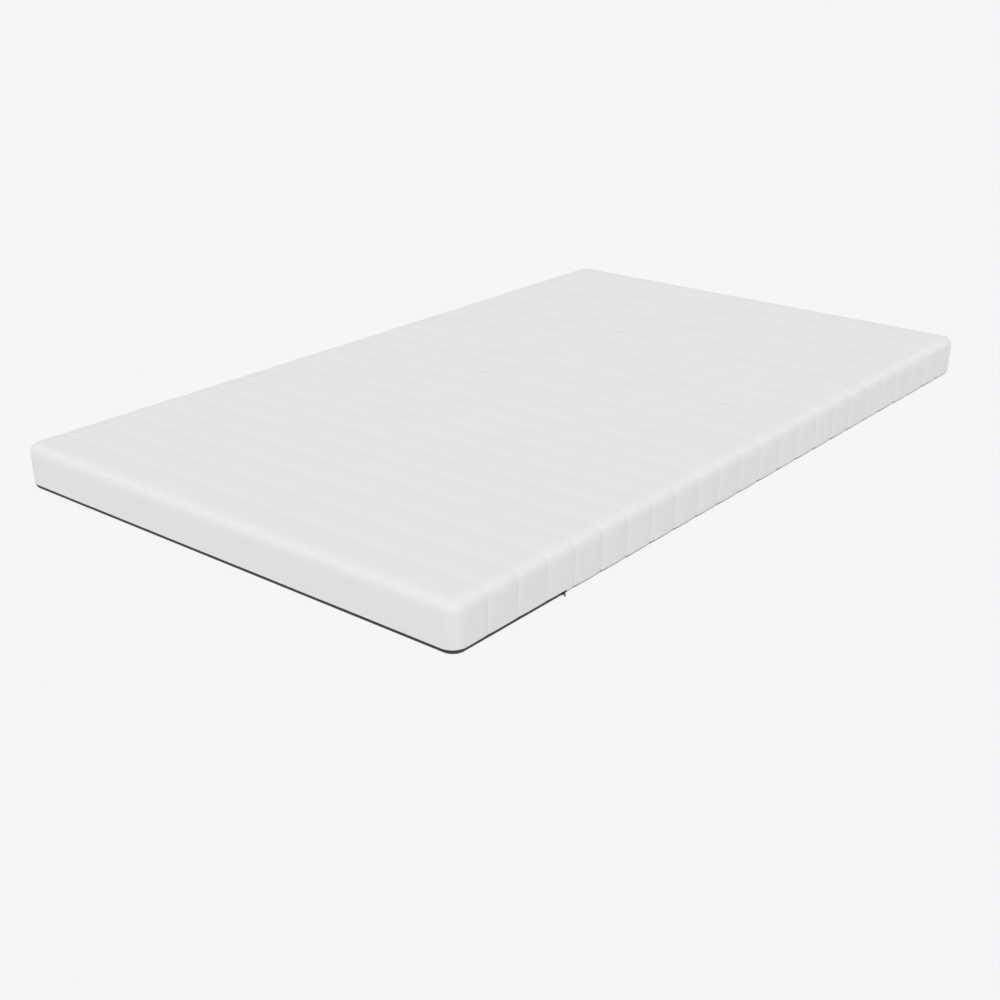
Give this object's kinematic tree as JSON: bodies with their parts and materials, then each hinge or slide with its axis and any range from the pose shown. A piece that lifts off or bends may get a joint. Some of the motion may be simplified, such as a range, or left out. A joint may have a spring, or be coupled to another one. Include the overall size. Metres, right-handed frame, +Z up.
{
  "type": "memory foam mattress",
  "caption": "Low rectangular mattress with a foam core in a white channel-quilted cover that zips to a grey base panel round the near end.",
  "frame": {"origin": "middle of the base face, on the surface that the mattress lies on", "axes": "+X across the bed, +Y along the bed away from the zipped end, +Z up through the sleep surface"},
  "size_m": [1.2024, 2, 0.1],
  "materials": {
    "base_foam": "open-cell polyurethane foam, cream, matt",
    "memory_foam": "fine-celled viscoelastic foam, off-white, matt",
    "sleeve_knit": "thin knitted sleeve, matt",
    "white_thread": "white polyester thread, slight sheen",
    "backing_fabric": "thin bonded non-woven, matt",
    "wadding": "lofted polyester wadding, soft",
    "white_ticking": "white double-jersey knit, matt with a slight sheen",
    "grey_ticking": "mid-grey woven polyester, matt",
    "binding_tape": "woven edge tape, matt",
    "zip_tape": "dark grey herringbone zip tape, matt",
    "zip_coil": "dark grey nylon coil, satin",
    "zip_cord": "dark grey twisted cord, matt",
    "grey_thread": "dark grey polyester thread, slight sheen",
    "slider_metal": "dark enamelled zinc alloy, satin"
  },
  "bodies": {
    "mattress": {"foam_base_core": "base_foam", "memory_foam_layer": "memory_foam", "core_sleeve": "sleeve_knit", "sleeve_closing_threads": "white_thread", "cover_backing": "backing_fabric", "cover_wadding": "wadding", "quilting_threads": "white_thread", "cover_top_ticking": "white_ticking", "cover_base_ticking": "grey_ticking", "seam_binding": "binding_tape", "seam_thread": "white_thread", "zip_tape_upper": "zip_tape", "zip_tape_lower": "zip_tape", "zip_coil_upper": "zip_coil", "zip_coil_lower": "zip_coil", "zip_core_cord_upper": "zip_cord", "zip_core_cord_lower": "zip_cord", "zip_thread_upper": "grey_thread", "zip_thread_lower": "grey_thread", "zip_end_tacks": "grey_thread"},
    "zip_slider": {"zip_slider_body": "slider_metal"},
    "pull_tab": {"zip_pull_tab": "slider_metal"}
  },
  "joints": [
    {"name": "zip_slide", "type": "slide", "parent": "mattress", "child": "zip_slider", "axis": [0, -1, 0], "range_m": [0, 0.265], "deforming": ["zip_coil_upper", "zip_coil_lower"]},
    {"name": "pull_tab_hinge", "type": "hinge", "parent": "zip_slider", "child": "pull_tab", "pos_m": [0.59995, -0.698, 0.0074], "axis": [0, -1, 0], "range_deg": [-6, 145]}
  ]
}
